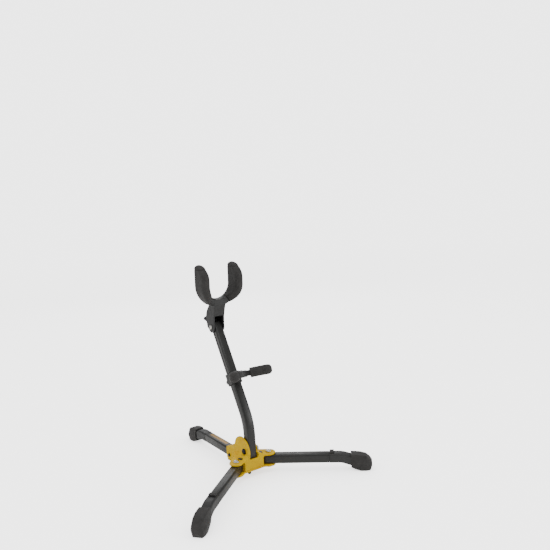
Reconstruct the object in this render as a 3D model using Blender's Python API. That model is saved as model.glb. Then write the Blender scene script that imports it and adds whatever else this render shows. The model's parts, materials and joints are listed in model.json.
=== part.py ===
"""Folding saxophone stand: a three-legged base, a leaning mast, a sliding lower rest and a folding bell yoke.

Metres, +Z up. The stand faces -Y, where the body of the saxophone goes. X is its left and right.
The origin is on the floor, under the middle of the footprint.
"""

from math import atan2, cos, hypot, pi, radians, sin, tan

import bmesh
import bpy
from mathutils import Matrix, Vector

MM = 0.001
GAP = 0.3

# Base, in millimetres. The hub axis is the point that the three leg axes cross.
TUBE = 18.0
TUBE_WALL = 1.5
TUBE_CORNER = 3.5
LEG_AXIS_Z = 25.0
LEG_DROP_ANGLE = 40.0
LEG_PIVOT_REACH = 47.5
ELBOW_START = 165.0
ELBOW_BEND = 189.0
ELBOW_TILT = 18.0
FOOT_TIP = 246.0
REAR_FOOT_TIP = 228.0
HUB_Y = -29.5

# Hub.
PLATE_BOTTOM = 12.2
PLATE_TOP = LEG_AXIS_Z - TUBE / 2 - GAP
EAR_BOTTOM = LEG_AXIS_Z + TUBE / 2 + GAP
EAR_TOP = EAR_BOTTOM + 3.4
EAR_RADIUS = 13.2
FRONT_WALL = -36.5
CHEEK_INNER = TUBE / 2 + 0.5
CHEEK_OUTER = 13.2
LEFT_CHEEK = ((-13.0, 48.8), 26.8, FRONT_WALL + 0.2)
RIGHT_CHEEK = ((-12.5, 51.0), 15.0, -27.5)
SOCKET_END = 46.0
LEG_BOLT_RADIUS = 3.0
BUMPER_LENGTH = 8.0
BUTTON_AT = (23.0, -23.7)
BUTTON_TURN = 20.0

# Mast: vertical from the hub, one bend, then straight up and back.
MAST_Y = -24.0
MAST_BOTTOM = 36.4
MAST_PIVOT = (-24.0, 50.0)
MAST_BEND_Z = 102.5
MAST_LEAN = 30.0
MAST_BEND_RADIUS = 90.0
MAST_LENGTH = 208.0
MAST_BOLT_RADIUS = 3.0

# Lower rest, measured along the straight part of the mast from the bend.
COLLAR_AT = 90.0
COLLAR_HEIGHT = 23.0
COLLAR_HALF = 11.8
KNUCKLE_REACH = 23.0
KNUCKLE_RADIUS = 7.5
KNUCKLE_HALF = 4.6
KNUCKLE_OUTER = 8.4
CRADLE_REACH = 76.0
CRADLE_DROP = -14.0
CRADLE_RADIUS = 37.0
CRADLE_THICK = 17.0
CRADLE_DEPTH = 19.0

# Yoke.
YOKE_HINGE_AT = 201.5
YOKE_BOTTOM = (-10.75, 50.0)
YOKE_LEAN = -3.0
YOKE_HALF = 37.0
YOKE_RISE = 78.0
RUBBER_THICK = 17.0
RUBBER_REAR = 10.5
CORE_THICK = 7.0
CORE_DEPTH = 14.0
COVER_START = 20.0
PLUNGER_TIP = (47.0, 11.0)
PLUNGER_NOSE = (13.2, 3.8)
HINGE_BOLT_RADIUS = 3.0

COLOURS = {
    "black_paint": ((0.018, 0.018, 0.017, 1), 0.38, 0.0),
    "yellow_casting": ((0.72, 0.47, 0.03, 1), 0.42, 0.0),
    "rubber": ((0.022, 0.021, 0.021, 1), 0.8, 0.0),
    "black_plastic": ((0.02, 0.02, 0.02, 1), 0.5, 0.0),
    "plated_steel": ((0.7, 0.7, 0.68, 1), 0.25, 1.0),
    "black_steel": ((0.03, 0.03, 0.03, 1), 0.35, 1.0),
}


def clear_scene():
    for old in list(bpy.data.objects):
        bpy.data.objects.remove(old, do_unlink=True)


def material(name):
    found = bpy.data.materials.get(name)
    if found:
        return found
    colour, roughness, metallic = COLOURS[name]
    made = bpy.data.materials.new(name)
    made.use_nodes = True
    shader = made.node_tree.nodes["Principled BSDF"]
    shader.inputs["Base Color"].default_value = colour
    shader.inputs["Roughness"].default_value = roughness
    shader.inputs["Metallic"].default_value = metallic
    return made


def add_object(name, bm, finish=None, sharp=35.0):
    """Turn a bmesh in hub millimetres into an object in metres, in its place on the floor."""
    bmesh.ops.recalc_face_normals(bm, faces=bm.faces)
    bmesh.ops.transform(bm, matrix=Matrix.Translation((0, HUB_Y, 0)), verts=bm.verts)
    bmesh.ops.scale(bm, vec=(MM, MM, MM), verts=bm.verts)
    mesh = bpy.data.meshes.new(name)
    bm.to_mesh(mesh)
    bm.free()
    mesh.shade_smooth()
    mesh.set_sharp_from_angle(angle=radians(sharp))
    obj = bpy.data.objects.new(name, mesh)
    bpy.context.scene.collection.objects.link(obj)
    if finish:
        mesh.materials.append(material(finish))
    else:
        obj.hide_render = True
        obj.display_type = "WIRE"
    return obj


def cutter(name, bm):
    return add_object("cut_" + name, bm)


def combine(obj, other, operation):
    step = obj.modifiers.new(other.name, "BOOLEAN")
    step.operation = operation
    step.solver = "EXACT"
    step.object = other
    return obj


def cut(obj, *tools):
    for tool in tools:
        combine(obj, tool, "DIFFERENCE")
    return obj


def join(obj, *parts):
    for extra in parts:
        combine(obj, extra, "UNION")
    return obj


def frame(origin, along, side=Vector((1, 0, 0))):
    """A matrix whose Z runs along, whose X is side, and whose origin is given."""
    along = Vector(along).normalized()
    across = along.cross(side).normalized()
    axes = Matrix((across.cross(along), across, along)).transposed()
    return Matrix.Translation(Vector(origin)) @ axes.to_4x4()


def loft(rings, closed=False):
    """Skin rings of points into one closed body, capped at both ends unless the rings form a loop."""
    bm = bmesh.new()
    loops = [[bm.verts.new(point) for point in ring] for ring in rings]
    pairs = list(zip(loops, loops[1:]))
    if closed:
        pairs.append((loops[-1], loops[0]))
    for first, second in pairs:
        count = len(first)
        for i in range(count):
            j = (i + 1) % count
            bm.faces.new((first[i], first[j], second[j], second[i]))
    if not closed:
        bm.faces.new(loops[0])
        bm.faces.new(loops[-1])
    return bm


def prism(outline, low, high, place=Matrix.Identity(4)):
    """An outline in X and Y, extruded in Z from low to high, then put in its place."""
    rings = [[place @ Vector((x, y, z)) for x, y in outline] for z in (low, high)]
    return loft(rings)


def side_prism(outline, low, high):
    """An outline in Y and Z, extruded in X from low to high."""
    rings = [[Vector((x, y, z)) for y, z in outline] for x in (low, high)]
    return loft(rings)


def turned(profile, place, sides=20):
    """A solid of revolution about the place's Z. The profile lists (radius, height) from pole to pole."""
    bm = bmesh.new()
    bottom = bm.verts.new(place @ Vector((0, 0, profile[0][1])))
    top = bm.verts.new(place @ Vector((0, 0, profile[-1][1])))
    rings = []
    for radius, height in profile[1:-1]:
        ring = []
        for i in range(sides):
            turn = 2 * pi * i / sides
            ring.append(bm.verts.new(place @ Vector((radius * cos(turn), radius * sin(turn), height))))
        rings.append(ring)
    for i in range(sides):
        j = (i + 1) % sides
        bm.faces.new((bottom, rings[0][j], rings[0][i]))
        bm.faces.new((top, rings[-1][i], rings[-1][j]))
        for lower, upper in zip(rings, rings[1:]):
            bm.faces.new((lower[i], lower[j], upper[j], upper[i]))
    return bm


def cylinder(radius, low, high, place, sides=20):
    return turned([(0, low), (radius, low), (radius, high), (0, high)], place, sides)


def box(x, y, z, place=Matrix.Identity(4)):
    return prism([(x[0], y[0]), (x[1], y[0]), (x[1], y[1]), (x[0], y[1])], z[0], z[1], place)


def arc(centre, radius, start, end, steps):
    """Points on a circle, in degrees, both ends included."""
    points = []
    for i in range(steps + 1):
        turn = radians(start + (end - start) * i / steps)
        points.append((centre[0] + radius * cos(turn), centre[1] + radius * sin(turn)))
    return points


def rounded_box(width, depth, corner, steps=3):
    """A rectangle with round corners, about its middle."""
    x, y = width / 2 - corner, depth / 2 - corner
    points = []
    for centre, start in (((x, y), 0), ((-x, y), 90), ((-x, -y), 180), ((x, -y), 270)):
        points += arc(centre, corner, start, start + 90, steps)
    return points


def section_rings(outline, places):
    return [[place @ Vector((x, y, 0)) for x, y in outline] for place in places]


def swept(outline, places):
    return loft(section_rings(outline, places))


def swept_tube(outer, inner, places):
    """An open tube: the outer skin one way along the places and the inner skin back."""
    rings = section_rings(outer, places) + section_rings(inner, reversed(places))
    return loft(rings, closed=True)


TUBE_OUTER = rounded_box(TUBE, TUBE, TUBE_CORNER)
TUBE_INNER = rounded_box(TUBE - 2 * TUBE_WALL, TUBE - 2 * TUBE_WALL, TUBE_CORNER - TUBE_WALL)
PLUG = rounded_box(TUBE - 2 * TUBE_WALL - 2 * GAP, TUBE - 2 * TUBE_WALL - 2 * GAP, TUBE_CORNER - TUBE_WALL)

# Each leg: its heading in the plan, in degrees, where its tube starts and where its foot ends.
LEGS = {
    "left": (180 + LEG_DROP_ANGLE, LEG_PIVOT_REACH - 10, FOOT_TIP),
    "right": (-LEG_DROP_ANGLE, LEG_PIVOT_REACH - 10, FOOT_TIP),
    "rear": (90, 12, REAR_FOOT_TIP),
}


def leg_frame(heading):
    """The leg's own frame: X runs outwards along it, Y across it and Z up, from the hub axis on the floor."""
    return Matrix.Rotation(radians(heading), 4, "Z")


def leg_pivot(side):
    return leg_frame(LEGS[side][0]) @ Vector((LEG_PIVOT_REACH, 0, 0))


def along_leg(place, reach, height, tilt=0.0):
    """The frame of a section across the leg: its Z points outwards, tilted down by tilt degrees."""
    turn = Matrix.Rotation(radians(90 + tilt), 4, "Y")
    return place @ Matrix.Translation((reach, 0, height)) @ turn


def leg_pieces(name):
    """One leg: the tube, the plug in its inner end, the elbow that bends down, the foot and its bumper."""
    heading, start, tip = LEGS[name]
    place = leg_frame(heading)
    shift = tip - FOOT_TIP
    elbow_start = ELBOW_START + shift
    bend = ELBOW_BEND + shift
    ends = [along_leg(place, reach, LEG_AXIS_Z) for reach in (start, elbow_start)]
    tube = add_object(name + "_leg_tube", swept_tube(TUBE_OUTER, TUBE_INNER, ends), "black_paint")
    plug_ends = [along_leg(place, reach, LEG_AXIS_Z) for reach in (start + 0.4, start + 24)]
    plug = add_object(name + "_leg_end_plug", swept(PLUG, plug_ends), "black_plastic")
    if name != "rear":
        bolt_hole = frame(leg_pivot(name), (0, 0, 1))
        for piece in (tube, plug):
            cut(piece, cutter(piece.name, cylinder(LEG_BOLT_RADIUS + GAP, 0, 50, bolt_hole, 16)))
    elbow(name, place, elbow_start, bend)
    foot(name, place, shift)
    if name != "rear":
        top = LEG_AXIS_Z + TUBE / 2 + 0.3
        near, far = elbow_start + 1, elbow_start + 1 + BUMPER_LENGTH
        pad = [(near, -6.5), (far, -6.5), (far, 6.5), (near, 6.5)]
        add_object(name + "_leg_bumper", prism(pad, top + GAP, top + 2.8, place), "rubber")


def elbow_axis(place, start, bend):
    """Section frames along the outer surface of the elbow, through its gentle bend."""
    frames = [along_leg(place, start + GAP, LEG_AXIS_Z)]
    steps = 5
    radius = 45.0
    first = bend - radius * tan(radians(ELBOW_TILT / 2))
    for i in range(steps + 1):
        turn = radians(ELBOW_TILT * i / steps)
        reach = first + radius * sin(turn)
        height = LEG_AXIS_Z - radius * (1 - cos(turn))
        frames.append(along_leg(place, reach, height, ELBOW_TILT * i / steps))
    tilt = radians(ELBOW_TILT)
    straight = 28.0
    frames.append(along_leg(place, reach + straight * cos(tilt), height - straight * sin(tilt), ELBOW_TILT))
    return frames


def elbow(name, place, start, bend):
    """The moulded elbow: its spigot plugs into the tube, and its outer end fills the foot."""
    outline = rounded_box(TUBE + 0.6, TUBE + 0.6, TUBE_CORNER)
    body = add_object(name + "_leg_elbow", swept(outline, elbow_axis(place, start, bend)), "black_plastic")
    spigot = [along_leg(place, reach, LEG_AXIS_Z) for reach in (start - 16, start + 3)]
    join(body, cutter(name + "_spigot", swept(PLUG, spigot)))


# The boot's sections, outwards to its toe: reach from the toe, top, half width there, half width in the
# middle, sole, and half width there.
BOOT = (
    (-40.0, 32.6, 9.8, 11.9, 6.2, 9.4),
    (-31.0, 32.2, 10.0, 12.8, 2.6, 10.0),
    (-22.0, 31.2, 10.2, 13.8, 0.0, 11.0),
    (-11.0, 28.6, 9.4, 13.6, 0.0, 11.0),
    (-4.0, 23.5, 7.6, 11.4, 0.0, 8.6),
    (0.0, 18.0, 5.6, 7.4, 8.0, 5.6),
)


def foot(name, place, shift):
    """The rubber boot: a faceted block, widest at half its height, that sits flat on the floor."""
    tip = FOOT_TIP + shift
    rings = []
    for reach, top, top_half, middle_half, sole, sole_half in BOOT:
        right = [(sole_half, sole), (middle_half, (top + sole) / 2), (top_half, top)]
        outline = right + [(-across, height) for across, height in reversed(right)]
        rings.append([place @ Vector((tip + reach, across, height)) for across, height in outline])
    boot = add_object(name + "_foot", loft(rings), "rubber")
    outline = rounded_box(TUBE + 0.6 + 2 * GAP, TUBE + 0.6 + 2 * GAP, TUBE_CORNER + GAP)
    frames = elbow_axis(place, ELBOW_START + shift, ELBOW_BEND + shift)
    tilt = radians(ELBOW_TILT)
    longer = Matrix.Translation(place.to_3x3() @ Vector((GAP * cos(tilt), 0, -GAP * sin(tilt))))
    frames[-1] = longer @ frames[-1]
    cut(boot, cutter(name + "_foot_socket", swept(outline, frames)))


def circle_hull(centre, radius, towards, width):
    """A tongue: a round end about the centre and straight sides back to a line at the hub."""
    heading = atan2(centre[1] - towards[1], centre[0] - towards[0])
    degrees = heading * 180 / pi
    points = arc(centre, radius, degrees - 90, degrees + 90, 12)
    across = Vector((-sin(heading), cos(heading))) * width
    points.append((towards[0] + across.x, towards[1] + across.y))
    points.append((towards[0] - across.x, towards[1] - across.y))
    return points


def hub_outline(rear):
    """The plan of the hub's core: flat in front, narrowing to the rear leg's socket."""
    right = [(21.2, FRONT_WALL), (23.6, -22), (23, 2), (14, 16), (14, rear)]
    return right + [(-x, y) for x, y in reversed(right)]


def ears(low, high, side):
    centre = leg_pivot(side)
    inner = (centre.x * 0.42, -14.0)
    return prism(circle_hull((centre.x, centre.y), EAR_RADIUS, inner, EAR_RADIUS + 1), low, high)


def cheek(shape, low, high):
    """A lobe beside the mast: round on top, running straight down into the hub."""
    centre, radius, front = shape
    lobe = arc(centre, radius, 0, 180, 18)
    return side_prism(lobe + [(front, EAR_BOTTOM), (centre[0] + radius + 4, EAR_BOTTOM)], low, high)


def shoulder(sign):
    """The deck beside the mast's channel, which slopes down to the ear."""
    outline = [(sign * (CHEEK_INNER + 1), EAR_BOTTOM - 2), (sign * (CHEEK_INNER + 1), 43)]
    outline += [(sign * 14.5, 43), (sign * 22.6, EAR_TOP + 0.5), (sign * 22.6, EAR_BOTTOM - 2)]
    rings = [[Vector((x, y, z)) for x, z in outline] for y in (FRONT_WALL + 0.4, -6)]
    return loft(rings)


def hub():
    """The yellow casting and the plate under it."""
    core = prism(hub_outline(SOCKET_END), LEG_AXIS_Z - TUBE / 2, EAR_TOP)
    housing = add_object("hub_housing", core, "yellow_casting")
    for side, sign in (("left", -1), ("right", 1)):
        join(housing, cutter("ear_" + side, ears(EAR_BOTTOM, EAR_TOP, side)))
        low, high = sorted((sign * CHEEK_INNER, sign * CHEEK_OUTER))
        shape = LEFT_CHEEK if sign < 0 else RIGHT_CHEEK
        join(housing, cutter("shoulder_" + side, shoulder(sign)), cutter("cheek_" + side, cheek(shape, low, high)))
    roof = [(12, EAR_TOP - 1), (15, 44), (34, 43), (SOCKET_END, 39.5), (SOCKET_END, EAR_TOP - 1)]
    join(housing, cutter("socket_roof", side_prism(roof, -13.5, 13.5)))
    channel = box((-CHEEK_INNER, CHEEK_INNER), (FRONT_WALL + 3.7, 13), (33, 90))
    mouth = box((-CHEEK_INNER, CHEEK_INNER), (-60, -20), (35.7, 90))
    bore = TUBE / 2 + GAP
    socket = box((-bore, bore), (10, 60), (LEG_AXIS_Z - 30, LEG_AXIS_Z + bore))
    pivot = frame((0, MAST_PIVOT[0], MAST_PIVOT[1]), (1, 0, 0), Vector((0, 1, 0)))
    bolt = cylinder(MAST_BOLT_RADIUS + GAP, -40, 40, pivot)
    cut(housing, cutter("channel", channel), cutter("mouth", mouth), cutter("socket", socket))
    cut(housing, cutter("mast_bolt_hole", bolt))
    for side, sign in (("left", -1), ("right", 1)):
        pocket = box(sorted((sign * 12.5, sign * 19.5)), (-33, 8), (0, EAR_TOP - 6.5))
        cut(housing, cutter("pocket_" + side, pocket))
    flat = prism(hub_outline(SOCKET_END - 2), PLATE_BOTTOM, PLATE_TOP)
    plate = add_object("hub_base_plate", flat, "yellow_casting")
    for side in ("left", "right"):
        join(plate, cutter("plate_ear_" + side, ears(PLATE_BOTTOM, PLATE_TOP, side)))
        hole = frame(leg_pivot(side), (0, 0, 1))
        for piece in (housing, plate):
            cut(piece, cutter(piece.name + side, cylinder(LEG_BOLT_RADIUS + GAP, 0, 60, hole, 16)))
    base_screws(housing, plate)
    leg_buttons(housing)


BASE_SCREWS = {"front": (-10.0, -32.0), "rear_left": (-11.6, 13.0), "rear_right": (11.6, 13.0)}


def base_screws(housing, plate):
    """Screws up through the base plate into the casting."""
    for name, (x, y) in BASE_SCREWS.items():
        place = frame((x, y, PLATE_BOTTOM), (0, 0, 1))
        profile = [(0, -5.0), (2.6, -5.0), (3.6, -3.8), (3.6, -GAP), (1.6, -GAP), (1.6, 9.5), (0, 9.5)]
        add_object("base_screw_" + name, turned(profile, place, 16), "black_steel")
        for piece in (housing, plate):
            hole = cylinder(1.6 + GAP, -6, 9.5 + GAP, place, 16)
            cut(piece, cutter(piece.name + name, hole))


def leg_buttons(housing):
    """The two buttons on top that free the front legs, and the slots that they sit in."""
    for side, sign in (("left", -1), ("right", 1)):
        turn = Matrix.Rotation(-sign * radians(BUTTON_TURN), 4, "Z")
        place = Matrix.Translation((sign * BUTTON_AT[0], BUTTON_AT[1], 0)) @ turn
        slot = prism(rounded_box(5.6, 10.6, 2.4), EAR_BOTTOM - 2, EAR_TOP + 6, place)
        cut(housing, cutter("button_slot_" + side, slot))
        button = prism(rounded_box(5.0, 10.0, 2.2), EAR_BOTTOM + 0.6, EAR_TOP + 1.2, place)
        add_object(side + "_leg_lock_button", button, "black_plastic")


def bolt(name, place, radius, under, length, head, head_height, finish):
    """A bolt along the place's Z: a low dome under the start, and its shank to its length."""
    shoulder = under - GAP
    profile = [
        (0, shoulder - head_height),
        (head * 0.55, shoulder - head_height),
        (head * 0.9, shoulder - head_height * 0.6),
        (head, shoulder - head_height * 0.25),
        (head, shoulder),
        (radius, shoulder),
        (radius, length),
        (0, length),
    ]
    return add_object(name, turned(profile, place, 18), finish)


def nut(name, place, radius, low, high, finish):
    """A hexagon nut whose hole clears its bolt."""
    outer = [(radius * cos(pi * i / 3), radius * sin(pi * i / 3)) for i in range(6)]
    return add_object(name, prism(outer, low, high, place), finish)


def drilled_nut(name, place, bolt_radius, radius, low, high, finish):
    piece = nut(name, place, radius, low, high, finish)
    return cut(piece, cutter(name + "_hole", cylinder(bolt_radius + GAP, low - 5, high + 5, place, 16)))


def leg_bolts():
    for side in ("left", "right"):
        down = frame(leg_pivot(side) + Vector((0, 0, EAR_TOP)), (0, 0, -1))
        depth = EAR_TOP - PLATE_BOTTOM
        bolt(side + "_leg_pivot_bolt", down, LEG_BOLT_RADIUS, 0, depth + 5, 5.6, 3.2, "plated_steel")
        drilled_nut(side + "_leg_pivot_nut", down, LEG_BOLT_RADIUS, 5.6, depth + GAP, depth + 4, "plated_steel")


def rear_leg_screws():
    """Two screws that fix the rear leg in its socket, and the holes that they need."""
    for side, sign in (("left", -1), ("right", 1)):
        inward = frame((sign * 14, 34, LEG_AXIS_Z), (-sign, 0, 0), Vector((0, 1, 0)))
        bolt("rear_leg_screw_" + side, inward, 1.8, 0, 10, 3.6, 2.2, "black_steel")
        for piece in ("hub_housing", "rear_leg_tube", "rear_leg_end_plug"):
            hole = cylinder(1.8 + GAP, -4, 10 + GAP, inward, 16)
            cut(bpy.data.objects[piece], cutter(piece + side, hole))


def mast_point(distance, forward=0.0, x=0.0):
    """A point by its distance along the straight part from the bend, and how far it is in front of the axis."""
    lean = radians(MAST_LEAN)
    y = MAST_Y + distance * sin(lean) - forward * cos(lean)
    z = MAST_BEND_Z + distance * cos(lean) + forward * sin(lean)
    return Vector((x, y, z))


MAST_ALONG = Vector((0, sin(radians(MAST_LEAN)), cos(radians(MAST_LEAN))))
MAST_FRONT = Vector((0, -cos(radians(MAST_LEAN)), sin(radians(MAST_LEAN))))


def mast_frame(distance):
    """X across the stand, Y towards the front of the mast, Z up along it."""
    turn = Matrix((Vector((-1, 0, 0)), MAST_FRONT, MAST_ALONG)).transposed().to_4x4()
    return Matrix.Translation(mast_point(distance)) @ turn


def mast_places():
    places = [Matrix.Translation((0, MAST_Y, MAST_BOTTOM))]
    tangent = MAST_BEND_RADIUS * tan(radians(MAST_LEAN / 2))
    steps = 8
    for i in range(steps + 1):
        turn = radians(MAST_LEAN * i / steps)
        y = MAST_Y + MAST_BEND_RADIUS * (1 - cos(turn))
        z = MAST_BEND_Z - tangent + MAST_BEND_RADIUS * sin(turn)
        places.append(Matrix.Translation((0, y, z)) @ Matrix.Rotation(-turn, 4, "X"))
    top = Matrix.Rotation(-radians(MAST_LEAN), 4, "X")
    places.append(Matrix.Translation(mast_point(MAST_LENGTH)) @ top)
    return places


def mast():
    """The bent tube, with a plug in each end and a bolt through each plug."""
    places = mast_places()
    tube = add_object("mast_tube", swept_tube(TUBE_OUTER, TUBE_INNER, places), "black_paint")
    low = [Matrix.Translation((0, MAST_Y, z)) for z in (MAST_BOTTOM + 0.4, MAST_BOTTOM + 28)]
    foot_plug = add_object("mast_foot_plug", swept(PLUG, low), "black_plastic")
    turn = Matrix.Rotation(-radians(MAST_LEAN), 4, "X")
    high = [Matrix.Translation(mast_point(at)) @ turn for at in (MAST_LENGTH - 26, MAST_LENGTH - 0.4)]
    top_plug = add_object("mast_top_plug", swept(PLUG, high), "black_plastic")
    pivot = frame((0, MAST_PIVOT[0], MAST_PIVOT[1]), (1, 0, 0), Vector((0, 1, 0)))
    hinge = frame(mast_point(YOKE_HINGE_AT), (1, 0, 0), Vector((0, 1, 0)))
    for plug, place, radius in ((foot_plug, pivot, MAST_BOLT_RADIUS), (top_plug, hinge, HINGE_BOLT_RADIUS)):
        for piece in (tube, plug):
            cut(piece, cutter(piece.name + "_bolt", cylinder(radius + GAP, -20, 20, place)))
    bolt("mast_pivot_bolt", pivot, MAST_BOLT_RADIUS, -CHEEK_OUTER, CHEEK_OUTER + 4.2, 5.8, 3.6, "black_steel")
    drilled_nut("mast_pivot_nut", pivot, MAST_BOLT_RADIUS, 5.2, CHEEK_OUTER + GAP, CHEEK_OUTER + 3.4, "plated_steel")


def lower_rest():
    """The collar on the mast, its clamp knob, and the padded cradle that tilts on its knuckle."""
    place = mast_frame(COLLAR_AT)
    half = COLLAR_HEIGHT / 2
    body = rounded_box(2 * COLLAR_HALF, 2 * COLLAR_HALF, 5)
    collar = add_object("rest_collar", prism(body, -half, half, place), "black_plastic")
    knuckle = place @ Matrix.Translation((0, KNUCKLE_REACH, 0)) @ Matrix.Rotation(pi / 2, 4, "Y")
    thin = KNUCKLE_HALF - 0.4
    neck = box((-thin, thin), (9, KNUCKLE_REACH), (-6, 6), place)
    barrel = cylinder(KNUCKLE_RADIUS, -KNUCKLE_HALF, KNUCKLE_HALF, knuckle, 24)
    rear = place @ Matrix.Rotation(pi / 2, 4, "X")
    boss = cylinder(7.2, COLLAR_HALF - 2, COLLAR_HALF + 5.5, rear, 24)
    join(collar, cutter("collar_neck", neck), cutter("collar_barrel", barrel), cutter("collar_boss", boss))
    opening = rounded_box(TUBE + 2 * GAP, TUBE + 2 * GAP, TUBE_CORNER + GAP)
    cut(collar, cutter("collar_bore", prism(opening, -half - 2, half + 2, place)))
    cut(collar, cutter("collar_screw_bore", cylinder(2.5 + GAP, 3, 40, rear)))
    cut(collar, cutter("collar_pivot_bore", cylinder(2.5 + GAP, -20, 20, knuckle)))
    profile = [(0, 9.6), (2.5, 9.6), (2.5, 18.2), (5.4, 18.2), (5.4, 25), (4.6, 27), (0, 27)]
    add_object("rest_height_knob", turned(profile, rear, 16), "black_plastic")
    cradle(knuckle)


CRADLE_AHEAD = CRADLE_REACH - KNUCKLE_REACH
CRADLE_ARM = hypot(CRADLE_DROP, CRADLE_AHEAD)


def cradle_frame():
    """The cradle's frame at its hinge: Y runs out along its arm, X across and Z up."""
    hinge = mast_frame(COLLAR_AT) @ Matrix.Translation((0, KNUCKLE_REACH, 0))
    return hinge @ Matrix.Rotation(atan2(CRADLE_DROP, CRADLE_AHEAD), 4, "X")


def cradle_places(start, end, steps):
    """Section frames round the cradle, from its middle next to the mast: X outwards, Y up and Z round it."""
    places = []
    for i in range(steps + 1):
        turn = radians(start + (end - start) * i / steps)
        point = Matrix.Translation((CRADLE_RADIUS * sin(turn), CRADLE_ARM - CRADLE_RADIUS * cos(turn), 0))
        outward = Vector((sin(turn), -cos(turn), 0))
        round_it = Vector((cos(turn), sin(turn), 0))
        axes = Matrix((outward, round_it.cross(outward), round_it)).transposed().to_4x4()
        places.append(cradle_frame() @ point @ axes)
    return places


def cradle(knuckle):
    """The tilting fork: a steel arc on two cheeks, with rubber on each half and a round cap at each tip."""
    tilted = cradle_frame()
    arm = add_object("rest_arm", cylinder(KNUCKLE_RADIUS, -KNUCKLE_OUTER, KNUCKLE_OUTER, knuckle, 24), "black_paint")
    wide = KNUCKLE_OUTER - 0.4
    neck = box((-wide, wide), (0, CRADLE_ARM - CRADLE_RADIUS), (-KNUCKLE_RADIUS + 1, KNUCKLE_RADIUS - 1), tilted)
    core = rounded_box(5, 11, 1.5)
    join(arm, cutter("rest_neck", neck), cutter("rest_arc", swept(core, cradle_places(-80, 80, 24))))
    slot = KNUCKLE_HALF + GAP
    room = KNUCKLE_RADIUS + 1.0
    outline = arc((0, 0), room, -60, 60, 10) + [(-20, room), (-20, -room)]
    sideways = tilted @ Matrix.Rotation(pi / 2, 4, "Y") @ Matrix.Rotation(pi / 2, 4, "Z")
    cut(arm, cutter("rest_slot", prism(outline, -slot, slot, sideways)))
    cut(arm, cutter("rest_bolt_bore", cylinder(2.5 + GAP, -20, 20, knuckle)))
    outer = rounded_box(CRADLE_THICK, CRADLE_DEPTH, 7)
    inner = rounded_box(5 + 2 * GAP, 11 + 2 * GAP, 1.8)
    for side, sign in (("left", 1), ("right", -1)):
        cover = swept_tube(outer, inner, cradle_places(sign * 22, sign * 80, 10))
        add_object(side + "_rest_rubber", cover, "rubber")
        ends = []
        for i in range(6):
            share = i / 5 * 0.97
            size = (1 - share ** 2) ** 0.5
            step = cradle_places(sign * (80.6 + share * 11), 0, 1)[0]
            ends.append(step @ Matrix.Diagonal((size, size, 1, 1)))
        add_object(side + "_rest_cap", swept(outer, ends), "rubber")
    leftwards = (knuckle.to_3x3() @ Vector((0, 0, 1))).x < 0
    across = knuckle @ Matrix.Rotation(pi, 4, "X") if leftwards else knuckle
    bolt("rest_pivot_bolt", across, 2.5, -KNUCKLE_OUTER, KNUCKLE_OUTER + 4.5, 4.6, 2.6, "plated_steel")
    drilled_nut("rest_pivot_nut", across, 2.5, 4.6, KNUCKLE_OUTER + GAP, KNUCKLE_OUTER + 3.6, "plated_steel")


def stem_frame():
    """The yoke bracket's frame at its hinge: X across, Y to the rear and Z up."""
    return Matrix.Translation(mast_point(YOKE_HINGE_AT))


def yoke_frame():
    """The plane of the yoke: X across, Y its depth to the rear and Z up its arms, from its lowest point."""
    bottom = stem_frame() @ Vector((0, *YOKE_BOTTOM))
    return Matrix.Translation(bottom) @ Matrix.Rotation(-radians(YOKE_LEAN), 4, "X")


def arch_point(distance):
    """A point on the yoke's centre line and its heading in the yoke's plane, from its lowest point."""
    quarter = YOKE_HALF * pi / 2
    sign = 1 if distance >= 0 else -1
    reach = abs(distance)
    if reach < quarter:
        turn = reach / YOKE_HALF
        return sign * YOKE_HALF * sin(turn), YOKE_HALF * (1 - cos(turn)), sign * turn
    return sign * YOKE_HALF, YOKE_HALF + reach - quarter, sign * pi / 2


ARM_END = YOKE_HALF * pi / 2 + YOKE_RISE - YOKE_HALF
CAP_START = ARM_END - 8

# How far the rubber reaches in front of the arch, by distance along it: narrow, a broad fin, then a round tip.
FIN = (
    (COVER_START, 12.5),
    (26, 18.0),
    (33, 24.0),
    (40, 28.0),
    (47, 30.0),
    (52, 30.3),
    (58.1, 30.5),
    (70, 30.5),
    (CAP_START - 14, 29.5),
    (CAP_START - 9, 26.5),
    (CAP_START - 4, 21.5),
    (CAP_START, 16.0),
)


def arch_places(start, end, steps):
    """Section frames along the yoke: X across the strip in its plane, Y its depth and Z along it."""
    places = []
    for i in range(steps + 1):
        x, z, turn = arch_point(start + (end - start) * i / steps)
        step = Matrix.Rotation(pi / 2 - turn, 4, "Y")
        places.append(yoke_frame() @ Matrix.Translation((x, 0, z)) @ step)
    return places


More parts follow.
